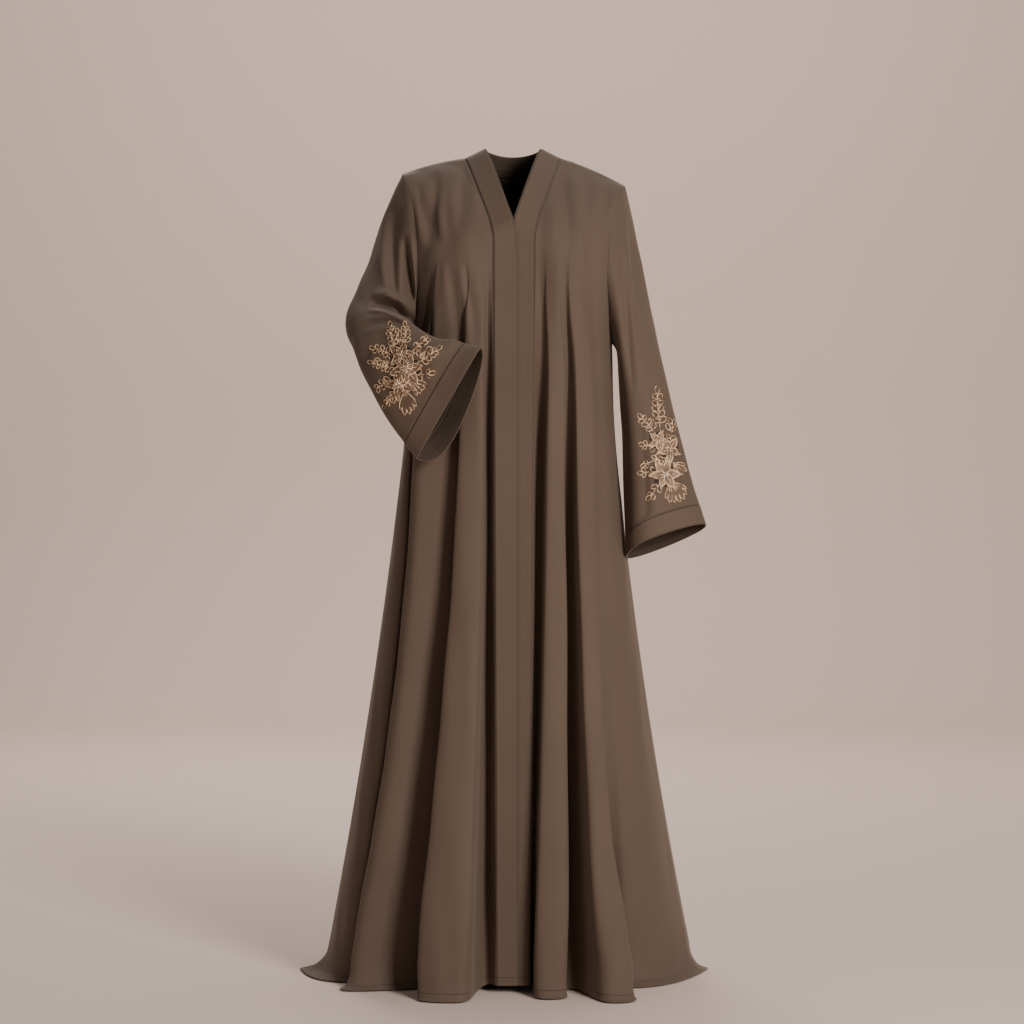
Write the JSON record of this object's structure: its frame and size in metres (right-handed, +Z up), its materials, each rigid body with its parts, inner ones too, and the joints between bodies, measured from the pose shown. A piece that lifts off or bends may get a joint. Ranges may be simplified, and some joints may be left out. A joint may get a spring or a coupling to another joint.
{
  "type": "abaya cloak",
  "caption": "Long open-front abaya cloak in the form it takes when worn, with a fluted flared skirt, bell sleeves and embroidered sleeve sprays.",
  "frame": {"origin": "middle of the neck between the shoulder seams, where the wearer's shoulders hold the cloak", "axes": "+Z up, front faces -Y, +X is the wearer's left"},
  "size_m": [0.7569, 0.6882, 1.5068],
  "materials": {
    "abaya_crepe": "soft matt crepe"
  },
  "bodies": {
    "root": {"front_right": "abaya_crepe", "front_left": "abaya_crepe", "back_right": "abaya_crepe", "back_left": "abaya_crepe", "front_band_right": "abaya_crepe", "front_band_left": "abaya_crepe", "neck_band_back": "abaya_crepe", "sleeve_right_upper": "abaya_crepe", "sleeve_right_lower": "abaya_crepe", "sleeve_left_upper": "abaya_crepe", "sleeve_left_lower": "abaya_crepe", "cuff_band_right": "abaya_crepe", "cuff_band_left": "abaya_crepe"}
  },
  "joints": []
}
